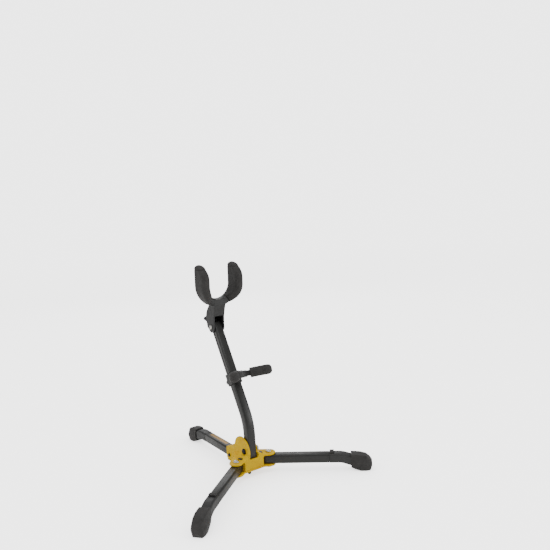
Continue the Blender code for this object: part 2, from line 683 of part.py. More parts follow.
def yoke_bracket():
    """Two side plates round the top of the mast, a rear wall, and the block that carries the arch."""
    place = stem_frame()
    sideways = place @ Matrix.Rotation(pi / 2, 4, "Y") @ Matrix.Rotation(pi / 2, 4, "Z")
    outline = arc((0, 0), 11.6, 180, 330, 10) + [(16, -2), (18.5, 8), (19.8, 20), (17, 28), (11.5, 36)]
    outline += [(6, 42), (2.4, 47), (0.5, 57), (-21.4, 57), (-22, 46), (-17.5, 34), (-13, 20), (-11.6, 6)]
    outer = CHEEK_INNER + 2.9
    bracket = add_object("yoke_bracket", prism(outline, -outer, outer, sideways), "black_plastic")
    room = [(-30, -20), (11.7, -20), (11.7, 12), (9, 16), (3, 20), (-30, 25)]
    saddle = rounded_box(RUBBER_THICK - 1, 21, 6)
    reach = COVER_START - GAP
    join(bracket, cutter("bracket_saddle", swept(saddle, arch_places(-reach, reach, 10))))
    cut(bracket, cutter("bracket_room", prism(room, -CHEEK_INNER, CHEEK_INNER, sideways)))
    tip = Vector((0, *PLUNGER_TIP))
    nose = Vector((0, *PLUNGER_NOSE))
    outward = (tip - nose).normalized()
    plunger = place @ frame(nose, outward)
    barrel = cutter("plunger_barrel", cylinder(5.6, 2, 20, plunger, 20))
    join(bracket, barrel)
    cut(bracket, cutter("plunger_bore", cylinder(2.2 + GAP, -3, 16.5, plunger, 16)))
    cut(bracket, cutter("plunger_well", cylinder(3.8 + GAP, 9, 25, plunger, 20)))
    hinge = frame(mast_point(YOKE_HINGE_AT), (1, 0, 0), Vector((0, 1, 0)))
    cut(bracket, cutter("bracket_bolt", cylinder(HINGE_BOLT_RADIUS + GAP, -20, 20, hinge)))
    core = rounded_box(CORE_THICK + 2 * GAP, CORE_DEPTH + 2 * GAP, 2.0)
    cut(bracket, cutter("bracket_arch", swept(core, arch_places(-22, 22, 12))))
    plunger_pieces(plunger, (tip - nose).length)
    bolt("yoke_pivot_bolt", hinge, HINGE_BOLT_RADIUS, -outer, outer + 4.5, 4.8, 2.6, "plated_steel")
    drilled_nut("yoke_pivot_nut", hinge, HINGE_BOLT_RADIUS, 5.2, outer + GAP, outer + 3.6, "plated_steel")
    return bracket


def plunger_pieces(place, length):
    """The pull pin that locks the yoke, and the spring that sends it home."""
    knob = length - 13
    profile = [(0, 0.4), (2.2, 0.4), (2.2, 20.6), (3.2, 20.6), (3.2, knob)]
    profile += [(4.2, knob + 1), (4.2, length - 1.5), (3, length), (0, length)]
    add_object("yoke_lock_plunger", turned(profile, place, 18), "black_steel")
    ring = [(2.8, 10), (3.6, 10), (3.6, 19.6), (2.8, 19.6)]
    rings = []
    sides = 18
    for i in range(sides):
        turn = 2 * pi * i / sides
        rings.append([place @ Vector((r * cos(turn), r * sin(turn), z)) for r, z in ring])
    add_object("yoke_plunger_spring", loft(rings, closed=True), "plated_steel")


def fin_section(front, rear=RUBBER_REAR, corner=7.0):
    """A rounded section whose depth reaches these distances in front of the arch and behind it."""
    middle = (rear - front) / 2
    return [(x, y + middle) for x, y in rounded_box(RUBBER_THICK, front + rear, corner)]


def yoke_arms():
    """The steel arch, the rubber fin on each arm and the round cap at each tip."""
    core = rounded_box(CORE_THICK, CORE_DEPTH, 2.0)
    add_object("yoke_arch", swept(core, arch_places(-CAP_START, CAP_START, 40)), "black_paint")
    inner = rounded_box(CORE_THICK + 4 * GAP, CORE_DEPTH + 4 * GAP, 2.3)
    for side, sign in (("left", -1), ("right", 1)):
        places = [arch_places(sign * at, sign * at, 1)[0] for at, _ in FIN]
        skin = [section_rings(fin_section(front), [place])[0] for place, (_, front) in zip(places, FIN)]
        add_object(side + "_yoke_rubber", loft(skin + section_rings(inner, reversed(places)), closed=True), "rubber")
        yoke_cap(side, sign)


def yoke_cap(side, sign):
    """A domed cap whose sections shrink towards the rear of the tip."""
    rings = []
    steps = 6
    height = 8.0
    for i in range(steps + 1):
        share = i / steps * 0.97
        place = arch_places(sign * (CAP_START + GAP + share * height), 0, 1)[0]
        size = (1 - share**2) ** 0.5
        section = fin_section(16.0 - 6.0 * share)
        rings.append([place @ Vector((x * size, (y - 1) * size + 1, 0)) for x, y in section])
    add_object(side + "_yoke_cap", loft(rings), "rubber")


def hang(name, pivot, along, parent, starts):
    """Put an empty on a joint's axis, turned so that its Z runs along it, and hang what moves about it there."""
    empty = bpy.data.objects.new(name, None)
    bpy.context.scene.collection.objects.link(empty)
    origin = (Vector(pivot) + Vector((0, HUB_Y, 0))) * MM
    empty.matrix_world = Matrix.Translation(origin) @ Vector(along).to_track_quat("Z", "Y").to_matrix().to_4x4()
    moving = [obj for obj in bpy.data.objects if obj.name.startswith(starts) and not obj.parent]
    for obj in moving:
        obj.parent = empty
        obj.matrix_parent_inverse = empty.matrix_world.inverted()
    if parent:
        empty.parent = parent
        empty.matrix_parent_inverse = parent.matrix_world.inverted()
    return empty


def hang_moving_pieces():
    """Give each body that moves a parent empty on its joint's axis."""
    for side, sign in (("left", -1), ("right", 1)):
        button = (sign * BUTTON_AT[0], BUTTON_AT[1], EAR_TOP)
        hang(side + "_button_press", button, (0, 0, -1), None, (side + "_leg_lock_button",))
        own = (side + "_leg_tube", side + "_leg_e", side + "_foot", side + "_leg_bumper")
        hang(side + "_leg_fold", leg_pivot(side), (0, 0, sign), None, own)
    mast_pieces = ("mast_tube", "mast_foot_plug", "mast_top_plug")
    fold = hang("mast_fold", (0, *MAST_PIVOT), (-1, 0, 0), None, mast_pieces)
    collar = mast_point(COLLAR_AT)
    knuckle = mast_point(COLLAR_AT, KNUCKLE_REACH)
    own = ("rest_collar", "rest_pivot_bolt", "rest_pivot_nut")
    height = hang("rest_height", collar, MAST_ALONG, fold, own)
    hang("height_knob_turn", collar, -MAST_FRONT, height, ("rest_height_knob",))
    own = ("rest_arm", "left_rest", "right_rest")
    hang("rest_tilt", knuckle, (1, 0, 0), height, own)
    hinge = mast_point(YOKE_HINGE_AT)
    nose = hinge + Vector((0, *PLUNGER_NOSE))
    outward = Vector((0, *PLUNGER_TIP)) - Vector((0, *PLUNGER_NOSE))
    own = ("yoke_bracket", "yoke_arch", "left_yoke", "right_yoke", "yoke_pivot", "yoke_plunger_spring")
    yoke = hang("yoke_fold", hinge, (1, 0, 0), fold, own)
    hang("yoke_plunger_pull", nose, outward, yoke, ("yoke_lock_plunger",))


def main():
    clear_scene()
    hub()
    for name in LEGS:
        leg_pieces(name)
    leg_bolts()
    rear_leg_screws()
    mast()
    lower_rest()
    yoke_bracket()
    yoke_arms()
    bpy.context.view_layer.update()
    hang_moving_pieces()


main()
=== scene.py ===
"""A folding saxophone stand: yellow hub, three legs, leaning mast, low rest and rubber yoke.

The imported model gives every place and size. This script gives each piece its finished shape and surface.
"""

import json
import logging
from dataclasses import asdict, dataclass
from enum import Enum
from math import cos, pi, radians, sin
from typing import Any, Callable, Sequence

import bmesh
import bpy
from mathutils import Matrix, Vector


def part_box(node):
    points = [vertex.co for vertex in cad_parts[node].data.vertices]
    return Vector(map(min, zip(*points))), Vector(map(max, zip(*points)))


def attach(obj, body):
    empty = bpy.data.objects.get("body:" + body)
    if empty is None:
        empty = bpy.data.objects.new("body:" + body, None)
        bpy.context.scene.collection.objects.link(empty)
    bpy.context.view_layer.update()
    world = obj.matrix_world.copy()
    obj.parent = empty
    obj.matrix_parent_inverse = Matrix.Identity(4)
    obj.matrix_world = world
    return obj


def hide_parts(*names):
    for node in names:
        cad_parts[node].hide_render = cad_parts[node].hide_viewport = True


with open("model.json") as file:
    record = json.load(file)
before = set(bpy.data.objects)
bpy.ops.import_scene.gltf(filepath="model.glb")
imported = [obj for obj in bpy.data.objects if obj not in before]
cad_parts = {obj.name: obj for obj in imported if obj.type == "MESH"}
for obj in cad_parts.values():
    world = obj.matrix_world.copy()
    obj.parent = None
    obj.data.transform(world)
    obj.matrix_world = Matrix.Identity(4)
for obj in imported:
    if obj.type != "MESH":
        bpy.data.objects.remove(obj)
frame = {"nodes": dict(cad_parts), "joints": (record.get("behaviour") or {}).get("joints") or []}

Mesh, Object, Node = bpy.types.Mesh, bpy.types.Object, bpy.types.Node
NodeTree, Socket = bpy.types.NodeTree, bpy.types.NodeSocket
Outline = Callable[[float], float]
Spots = Sequence[tuple[Vector, Vector]]

log = logging.getLogger("saxophone_stand")

MM = 0.001
WHITE = (1.0, 1.0, 1.0, 1.0)

# Points round a turned piece, and the least step between two of its rings, in metres.
SIDES = 36
STEP = 0.0001

# Points closer than this, in metres, are one point, and faces flatter than this are one face.
MERGE = 1e-5
FLAT_ANGLE = radians(0.5)

# Edges that turn further than this get a bevel, and those past the next stay crisp.
CORNER_ANGLE = radians(40)
CRISP_ANGLE = radians(38)

# The attribute that holds wear, how fast it grows on a corner, and what is taken off it first.
WEAR = "wear"
WEAR_GAIN = 3.2
WEAR_START = 0.12

# How much each kind of piece shows its worn corners.
MOULDED_WEAR = 1.2
MACHINED_WEAR = 0.5
FASTENER_WEAR = 0.4
SPRING_WEAR = 0.3

# A noise texture gathers round 0.5. Each pattern starts at the first value and is full at the second.
DRIFT = (0.35, 0.68)
SPECKS = (0.62, 0.8)
RUBBED = (0.42, 0.66)
GLOSS = (0.3, 0.7)
THIN_PAINT = (0.25, 0.5)

# The size of the breaks in the wear along a corner.
RUBBED_MM = 4.0


# ---------------------------------------------------------------- colours and nodes


def colour(code: str) -> tuple[float, float, float, float]:
    """Turn an sRGB hex value into the linear colour that a shader wants.

    Args:
        code: Six hex digits, such as "DDB021".

    Returns:
        Red, green, blue and alpha, linear.
    """
    parts = [int(code[i : i + 2], 16) / 255 for i in (0, 2, 4)]
    linear = [p / 12.92 if p <= 0.04045 else ((p + 0.055) / 1.055) ** 2.4 for p in parts]
    return linear[0], linear[1], linear[2], 1.0


def per_metre(size_mm: float) -> float:
    """The scale of a pattern whose features are this many millimetres across."""
    return 1.0 / (size_mm * MM)


def add_node(tree: NodeTree, kind: str, inputs: dict[Any, Any] | None = None, **settings: Any) -> Node:
    """Add a node, set its settings and fill or link its inputs.

    Args:
        tree: The node tree that gets it.
        kind: The node's type name.
        inputs: Values, sockets or nodes, by the input's name or number. A node gives its first output.
        **settings: Properties of the node itself.

    Returns:
        The new node.
    """
    node = tree.nodes.new(kind)
    for name, value in settings.items():
        setattr(node, name, value)
    for key, value in (inputs or {}).items():
        if isinstance(value, Node):
            value = value.outputs[0]
        if isinstance(value, Socket):
            tree.links.new(value, node.inputs[key])
        else:
            node.inputs[key].default_value = value
    return node


# ---------------------------------------------------------------- finishes


@dataclass(frozen=True)
class Finish:
    """A surface: two close tones, specks, a bump from two sizes of texture and worn edges.

    Grain sizes and bump heights are in millimetres.
    """

    name: str
    slot: str
    base: str
    shade: str
    worn: str
    roughness: tuple[float, float]
    metallic: float = 0.0
    ior: float = 1.5
    specular: float = 0.5
    tone_mm: float = 26.0
    grain_mm: float = 1.6
    grain_depth_mm: float = 0.05
    fine_mm: float = 0.5
    fine_depth_mm: float = 0.015
    wear: float = 0.0
    speck: float = 0.0
    sheen: float = 0.0
    stretch: tuple[float, float, float] = (1.0, 1.0, 1.0)

    def tones(self, tree: NodeTree, place: Socket) -> Socket:
        """The colour: broad drifts between the two tones, with lighter specks of dust or pigment.

        Args:
            tree: The material's node tree.
            place: Where the pattern is read.

        Returns:
            The colour.
        """
        drift = add_node(
            tree,
            "ShaderNodeTexNoise",
            {"Vector": place, "Scale": per_metre(self.tone_mm), "Detail": 4.0, "Roughness": 0.6},
        )
        spread = add_node(
            tree, "ShaderNodeMapRange", {"Value": drift, "From Min": DRIFT[0], "From Max": DRIFT[1]}
        )
        mixed = add_node(
            tree,
            "ShaderNodeMix",
            {"Factor": spread, 6: colour(self.base), 7: colour(self.shade)},
            data_type="RGBA",
        )
        speck = add_node(
            tree, "ShaderNodeTexNoise", {"Vector": place, "Scale": per_metre(self.fine_mm * 3), "Detail": 2.0}
        )
        picked = add_node(
            tree,
            "ShaderNodeMapRange",
            {"Value": speck, "From Min": SPECKS[0], "From Max": SPECKS[1], "To Max": self.speck},
        )
        return add_node(
            tree,
            "ShaderNodeMix",
            {"Factor": picked, 6: mixed.outputs[2], 7: colour(self.worn)},
            data_type="RGBA",
        ).outputs[2]

    def rubbed(self, tree: NodeTree, place: Socket) -> Socket:
        """Where the surface is rubbed: on outer corners, broken up so that it isn't an outline.

        Args:
            tree: The material's node tree.
            place: Where the pattern is read.

        Returns:
            How worn the surface is, from 0 to the finish's own wear.
        """
        edge = add_node(tree, "ShaderNodeAttribute", attribute_name=WEAR, attribute_type="GEOMETRY")
        broken = add_node(
            tree,
            "ShaderNodeTexNoise",
            {"Vector": place, "Scale": per_metre(RUBBED_MM), "Detail": 6.0, "Roughness": 0.7},
        )
        kept = add_node(
            tree, "ShaderNodeMapRange", {"Value": broken, "From Min": RUBBED[0], "From Max": RUBBED[1]}
        )
        both = add_node(tree, "ShaderNodeMath", {0: edge.outputs["Fac"], 1: kept}, operation="MULTIPLY")
        worn = add_node(tree, "ShaderNodeMath", {0: both, 1: self.wear}, operation="MULTIPLY")
        return worn.outputs[0]

    def relief(self, tree: NodeTree, place: Socket) -> Socket:
        """The bump: a soft coarse grain with a finer one on it.

        Args:
            tree: The material's node tree.
            place: Where the pattern is read.

        Returns:
            The normal.
        """
        coarse = add_node(
            tree, "ShaderNodeTexNoise", {"Vector": place, "Scale": per_metre(self.grain_mm), "Detail": 1.5}
        )
        fine = add_node(
            tree, "ShaderNodeTexNoise", {"Vector": place, "Scale": per_metre(self.fine_mm), "Detail": 2.0}
        )
        first = add_node(
            tree, "ShaderNodeBump", {"Height": coarse, "Distance": self.grain_depth_mm * MM, "Strength": 1.0}
        )
        second = add_node(
            tree,
            "ShaderNodeBump",
            {"Height": fine, "Distance": self.fine_depth_mm * MM, "Strength": 1.0, "Normal": first},
        )
        return second.outputs[0]

    def extra(self, tree: NodeTree, place: Socket, tone: Socket) -> Socket:
        """Room for a marking on one kind of piece. A plain finish has none."""
        return tone

    def build(self) -> bpy.types.Material:
        """Make the material, or find it if it is already made.

        Returns:
            The material.
        """
        found = bpy.data.materials.get(self.name)
        if found:
            return found
        made = bpy.data.materials.new(self.name)
        made.use_nodes = True
        tree = made.node_tree
        tree.nodes.clear()
        coordinates = add_node(tree, "ShaderNodeTexCoord")
        mapped = add_node(
            tree, "ShaderNodeMapping", {"Vector": coordinates.outputs["Object"], "Scale": self.stretch}
        )
        place = mapped.outputs[0]
        tone = self.extra(tree, coordinates.outputs["Object"], self.tones(tree, place))
        rubbed = self.rubbed(tree, place)
        final = add_node(
            tree, "ShaderNodeMix", {"Factor": rubbed, 6: tone, 7: colour(self.worn)}, data_type="RGBA"
        ).outputs[2]
        patch = add_node(
            tree,
            "ShaderNodeTexNoise",
            {"Vector": place, "Scale": per_metre(self.tone_mm * 0.4), "Detail": 5.0},
        )
        low, high = self.roughness
        gloss = add_node(
            tree,
            "ShaderNodeMapRange",
            {"Value": patch, "From Min": GLOSS[0], "From Max": GLOSS[1], "To Min": low, "To Max": high},
        )
        shader = add_node(
            tree,
            "ShaderNodeBsdfPrincipled",
            {
                "Base Color": final,
                "Roughness": gloss,
                "Normal": self.relief(tree, place),
                "Metallic": self.metallic,
                "Specular IOR Level": self.specular,
                "Sheen Weight": self.sheen,
            },
        )
        if not self.metallic:
            shader.inputs["IOR"].default_value = self.ior
        add_node(tree, "ShaderNodeOutputMaterial", {"Surface": shader})
        return made


@dataclass(frozen=True)
class StripedFinish(Finish):
    """Powder coat with a plain painted stripe along the top of the rear leg. Places are in metres."""

    stripe: str = "B88A2E"
    stripe_middle: float = 0.0012
    stripe_from: float = 0.0
    stripe_to: float = 0.1
    stripe_half: float = 0.0038
    stripe_above: float = 0.033
    stripe_soft: float = 0.0003
    stripe_grain_mm: float = 2.2
    stripe_cover: float = 0.55

    def extra(self, tree: NodeTree, place: Socket, tone: Socket) -> Socket:
        """Paint the stripe where X is near its middle, Y is inside its run and Z is on the top face.

        Args:
            tree: The material's node tree.
            place: Where the pattern is read.
            tone: The colour under the stripe.

        Returns:
            The colour with the stripe on it.
        """
        axes = add_node(tree, "ShaderNodeSeparateXYZ", {0: place})
        across = add_node(tree, "ShaderNodeMath", {0: axes, 1: self.stripe_middle}, operation="SUBTRACT")
        side = add_node(tree, "ShaderNodeMath", {0: across}, operation="ABSOLUTE")
        soft = self.stripe_soft
        limits = (
            (side.outputs[0], self.stripe_half + soft, self.stripe_half - soft),
            (axes.outputs[1], self.stripe_from - soft, self.stripe_from + soft),
            (axes.outputs[1], self.stripe_to + soft, self.stripe_to - soft),
            (axes.outputs[2], self.stripe_above - soft, self.stripe_above + soft),
        )
        steps = [
            add_node(
                tree, "ShaderNodeMapRange", {"Value": value, "From Min": outside, "From Max": within}
            ).outputs[0]
            for value, outside, within in limits
        ]
        thin = add_node(
            tree,
            "ShaderNodeTexNoise",
            {"Vector": place, "Scale": per_metre(self.stripe_grain_mm), "Detail": 4.0},
        )
        cover = add_node(
            tree,
            "ShaderNodeMapRange",
            {
                "Value": thin,
                "From Min": THIN_PAINT[0],
                "From Max": THIN_PAINT[1],
                "To Min": self.stripe_cover,
            },
        )
        amount = cover.outputs[0]
        for step in steps:
            amount = add_node(tree, "ShaderNodeMath", {0: amount, 1: step}, operation="MULTIPLY").outputs[0]
        painted = add_node(
            tree, "ShaderNodeMix", {"Factor": amount, 6: tone, 7: colour(self.stripe)}, data_type="RGBA"
        )
        return painted.outputs[2]


# Polyester powder coat on steel tube: satin, with a soft orange peel about 2 mm across.
SATIN_POWDER_COAT = Finish(
    "satin_black_powder_coat",
    "black_paint",
    base="1E1E1D",
    shade="272725",
    worn="4E4D49",
    roughness=(0.3, 0.42),
    grain_mm=2.0,
    grain_depth_mm=0.03,
    fine_mm=0.6,
    fine_depth_mm=0.008,
    wear=0.35,
    speck=0.10,
)

# Zinc casting under yellow powder coat: warm, satin, slightly pebbled, and pale where rubbed.
YELLOW_CASTING = Finish(
    "yellow_powder_coated_casting",
    "yellow_casting",
    base="F2C900",
    shade="E8B800",
    worn="F2D23C",
    roughness=(0.42, 0.58),
    specular=0.1,
    tone_mm=18.0,
    grain_mm=1.8,
    grain_depth_mm=0.06,
    fine_mm=0.7,
    fine_depth_mm=0.015,
    wear=0.35,
    speck=0.05,
)

# Moulded EPDM rubber: matt, a fine stipple from the spark-eroded mould, a faint grey bloom.
MOULDED_RUBBER = Finish(
    "matt_moulded_rubber",
    "rubber",
    base="2A2928",
    shade="373534",
    worn="62605C",
    roughness=(0.6, 0.78),
    ior=1.52,
    specular=0.42,
    tone_mm=14.0,
    grain_mm=1.3,
    grain_depth_mm=0.05,
    fine_mm=0.55,
    fine_depth_mm=0.03,
    wear=0.45,
    speck=0.22,
    sheen=0.05,
)

# Glass-filled nylon: black, a leathery mould texture about 1 mm across, less shine than the paint.
MOULDED_NYLON = Finish(
    "moulded_black_nylon",
    "black_plastic",
    base="222222",
    shade="2A2A2A",
    worn="555452",
    roughness=(0.44, 0.56),
    ior=1.53,
    tone_mm=16.0,
    grain_mm=1.1,
    grain_depth_mm=0.035,
    fine_mm=0.45,
    fine_depth_mm=0.012,
    wear=0.3,
    speck=0.12,
)

# Bright nickel plate: a cool pale metal with faint turning marks.
NICKEL_PLATE = Finish(
    "bright_nickel_plate",
    "plated_steel",
    base="D2D1CC",
    shade="BAB9B4",
    worn="F0EFEA",
    roughness=(0.16, 0.3),
    metallic=1.0,
    tone_mm=5.0,
    grain_mm=0.9,
    grain_depth_mm=0.01,
    fine_mm=0.35,
    fine_depth_mm=0.006,
    wear=0.2,
    stretch=(1.0, 1.0, 4.0),
)

# Black oxide on steel: nearly black, oily, with bare metal just showing on the corners.
BLACK_OXIDE = Finish(
    "black_oxide_steel",
    "black_steel",
    base="2E2E31",
    shade="242427",
    worn="8B8A88",
    roughness=(0.3, 0.44),
    metallic=0.85,
    tone_mm=4.0,
    grain_mm=0.8,
    grain_depth_mm=0.012,
    fine_mm=0.35,
    fine_depth_mm=0.006,
    wear=0.4,
)


class Facing(Enum):
    """Which way a screw head or a nut looks out of the stand."""

    LEFT = (-1.0, 0.0, 0.0)
    RIGHT = (1.0, 0.0, 0.0)
    UP = (0.0, 0.0, 1.0)
    DOWN = (0.0, 0.0, -1.0)

    @property
    def way(self) -> Vector:
        """The direction as a vector."""
        return Vector(self.value)


# ---------------------------------------------------------------- meshes


def new_piece(name: str, mesh: Mesh) -> Object:
    """Put a mesh in the scene as an object at the origin.

    Args:
        name: The object's name.
        mesh: Its mesh.

    Returns:
        The object.
    """
    piece = bpy.data.objects.new(name, mesh)
    bpy.context.scene.collection.objects.link(piece)
    return piece


def flatten(piece: Object) -> Object:
    """Turn a piece's modifiers into plain mesh, and take them off.

    Args:
        piece: The object with its modifiers.

    Returns:
        The same object, without them.
    """
    bpy.context.view_layer.update()
    graph = bpy.context.evaluated_depsgraph_get()
    made = bpy.data.meshes.new_from_object(
        piece.evaluated_get(graph), preserve_all_data_layers=True, depsgraph=graph
    )
    made.name = piece.name
    piece.modifiers.clear()
    piece.data = made
    return piece


def merged_copy(name: str, nodes: Sequence[str]) -> Object:
    """Copy CAD nodes into one new object, with their loose triangles joined up.

    Args:
        name: The new object's name.
        nodes: The CAD nodes to copy.

    Returns:
        The new object, at the origin.
    """
    bm = bmesh.new()
    for node in nodes:
        bm.from_mesh(frame["nodes"][node].data)
    bmesh.ops.remove_doubles(bm, verts=bm.verts, dist=MERGE)
    bmesh.ops.dissolve_limit(bm, angle_limit=FLAT_ANGLE, verts=bm.verts, edges=bm.edges)
    mesh = bpy.data.meshes.new(name)
    bm.to_mesh(mesh)
    bm.free()
    return new_piece(name, mesh)


def mark_wear(mesh: Mesh, strength: float) -> None:
    """Store how proud of its neighbours each point stands, as an attribute that finishes read.

    Args:
        mesh: The mesh that gets the attribute.
        strength: How much a proud point counts as worn.
    """
    bm = bmesh.new()
    bm.from_mesh(mesh)
    bm.normal_update()
    values = []
    for vertex in bm.verts:
        near = [edge.other_vert(vertex).co for edge in vertex.link_edges]
        if not near:
            values.append(0.0)
            continue
        middle = sum(near, Vector()) / len(near)
        step = sum((point - vertex.co).length for point in near) / len(near)
        proud = (vertex.co - middle).dot(vertex.normal) / max(step, 1e-6)
        values.append(min(max(proud * strength * WEAR_GAIN - WEAR_START, 0.0), 1.0))
    bm.free()
    layer = mesh.attributes.new(WEAR, "FLOAT", "POINT")
    layer.data.foreach_set("value", values)


@dataclass(frozen=True)
class Mould:
    """How a mould rounds a piece: the size of its faces, and how many times its surface is eased."""

    voxel_mm: float
    passes: int


def moulded(name: str, nodes: Sequence[str], mould: Mould) -> Object:
    """A cast or moulded piece: the CAD shape with its corners and creases rounded by the mould.

    Args:
        name: The new object's name.
        nodes: The CAD nodes whose shape it takes.
        mould: How much it is rounded.

    Returns:
        The finished object.
    """
    piece = merged_copy(name, nodes)
    skin = piece.modifiers.new("Skin", "REMESH")
    skin.mode = "VOXEL"
    skin.voxel_size = mould.voxel_mm * MM
    skin.adaptivity = 0.0
    ease = piece.modifiers.new("Ease", "SMOOTH")
    ease.factor = 0.5
    ease.iterations = mould.passes
    flatten(piece)
    piece.data.shade_smooth()
    mark_wear(piece.data, MOULDED_WEAR)
    return piece


def machined(name: str, node: str, bevel_mm: float) -> Object:
    """A drawn, turned or sheared piece: the CAD shape with a small even bevel on its corners.

    Args:
        name: The new object's name.
        node: The CAD node whose shape it takes.
        bevel_mm: The width of the bevel.

    Returns:
        The finished object.
    """
    piece = merged_copy(name, [node])
    corner = piece.modifiers.new("Corner", "BEVEL")
    corner.width = bevel_mm * MM
    corner.segments = 2
    corner.limit_method = "ANGLE"
    corner.angle_limit = CORNER_ANGLE
    corner.use_clamp_overlap = True
    flatten(piece)
    piece.data.shade_smooth()
    piece.data.set_sharp_from_angle(angle=CRISP_ANGLE)
    mark_wear(piece.data, MACHINED_WEAR)
    return piece


def loft(name: str, rings: Sequence[Sequence[Vector]]) -> Mesh:
    """Skin rings of points into a mesh that is capped at both ends.

    Args:
        name: The mesh's name.
        rings: Rings with the same number of points each.

    Returns:
        The mesh, with its faces pointing out.
    """
    bm = bmesh.new()
    loops = [[bm.verts.new(point) for point in ring] for ring in rings]
    count = len(loops[0])
    for first, second in zip(loops, loops[1:]):
        for i in range(count):
            j = (i + 1) % count
            bm.faces.new((first[i], first[j], second[j], second[i]))
    bm.faces.new(loops[0])
    bm.faces.new(loops[-1])
    bmesh.ops.recalc_face_normals(bm, faces=bm.faces)
    mesh = bpy.data.meshes.new(name)
    bm.to_mesh(mesh)
    bm.free()
    return mesh


def ring(radius: Outline, height: float) -> list[Vector]:
    """Points round the Z axis.

    Args:
        radius: The radius in metres as a function of the turn.
        height: The height that they are all at.

    Returns:
        The points.
    """
    points = []
    for i in range(SIDES):
        turn = 2 * pi * i / SIDES
        reach = radius(turn)
        points.append(Vector((reach * cos(turn), reach * sin(turn), height)))
    return points


def round_at(radius: float) -> Outline:
    """A circle."""
    return lambda turn: radius


def hexagon(across: float, limit: float = 1.0) -> Outline:
    """A hexagon this far across its flats, with its corners kept inside a radius.

    Args:
        across: The distance across the flats.
        limit: The largest radius that a corner may have.

    Returns:
        The radius as a function of the turn.
    """
    sixth = pi / 3

    def radius(turn: float) -> float:
        """The radius at this turn."""
        off = (turn % sixth) - sixth / 2
        return min(across / 2 / cos(off), limit)

    return radius


# ---------------------------------------------------------------- fasteners


# The seed of each set's chance turns.
TURN_SEEDS = {
    "left_leg_bolt": 7,
    "right_leg_bolt": 8,
    "left_leg_nut": 12,
    "right_leg_nut": 13,
    "mast_bolt": 21,
    "mast_nut": 22,
    "rear_leg_screws": 5,
    "base_screws": 6,
    "rest_bolt": 31,
    "rest_nut": 32,
    "yoke_bolt": 41,
    "yoke_nut": 42,
}


@dataclass(frozen=True)
class DomeScrew:
    """A button-head screw with a hexagon socket, whose head looks along +Z from Z = 0.

    Sizes are in millimetres.
    """

    head_radius: float
    head_height: float
    socket: float
    shank_radius: float
    length: float

    def mesh(self, name: str) -> Mesh:
        """Loft the screw from the end of its shank, over its head and down into its socket.

        Args:
            name: The mesh's name.

        Returns:
            The mesh.
        """
        r, h, s = self.head_radius * MM, self.head_height * MM, self.socket * MM
        shank, end = self.shank_radius * MM, -self.length * MM
        rings = [
            ring(round_at(shank * 0.75), end),
            ring(round_at(shank), end + shank * 0.25),
            ring(round_at(shank), -STEP),
            ring(round_at(r * 0.97), 0.0),
            ring(round_at(r), h * 0.1),
            ring(round_at(r), h * 0.28),
            ring(round_at(r * 0.95), h * 0.55),
            ring(round_at(r * 0.83), h * 0.8),
            ring(round_at(r * 0.68), h * 0.95),
            ring(round_at(s * 0.68), h),
            ring(hexagon(s * 1.06), h),
            ring(hexagon(s), h - 2 * STEP),
            ring(hexagon(s), h * 0.3),
            ring(round_at(s * 0.1), h * 0.18),
        ]
        mesh = loft(name, rings)
        mesh.shade_smooth()
        mesh.set_sharp_from_angle(angle=radians(42))
        return mesh


@dataclass(frozen=True)
class HexNut:
    """A chamfered nut from Z = 0 up, with the end of its bolt just proud. Sizes in millimetres."""

    across: float
    height: float
    bolt_radius: float
    proud: float

    def mesh(self, name: str) -> Mesh:
        """Loft the nut with round chamfers on both faces, and the bolt's end in its middle.

        Args:
            name: The mesh's name.

        Returns:
            The mesh.
        """
        a, h, b = self.across * MM, self.height * MM, self.bolt_radius * MM
        inner = a * 0.49
        rings = [
            ring(round_at(b * 0.6), 0.0),
            ring(round_at(inner), 0.0),
            ring(hexagon(a, a * 0.515), h * 0.08),
            ring(hexagon(a, a * 0.57), h * 0.2),
            ring(hexagon(a, a * 0.57), h * 0.8),
            ring(hexagon(a, a * 0.515), h * 0.92),
            ring(round_at(inner), h),
            ring(round_at(b * 1.25), h),
            ring(round_at(b * 1.05), h - 3 * STEP),
            ring(round_at(b), h - 2 * STEP),
            ring(round_at(b), h + self.proud * MM * 0.7),
            ring(round_at(b * 0.8), h + self.proud * MM),
        ]
        mesh = loft(name, rings)
        mesh.shade_smooth()
        mesh.set_sharp_from_angle(angle=radians(35))
        return mesh


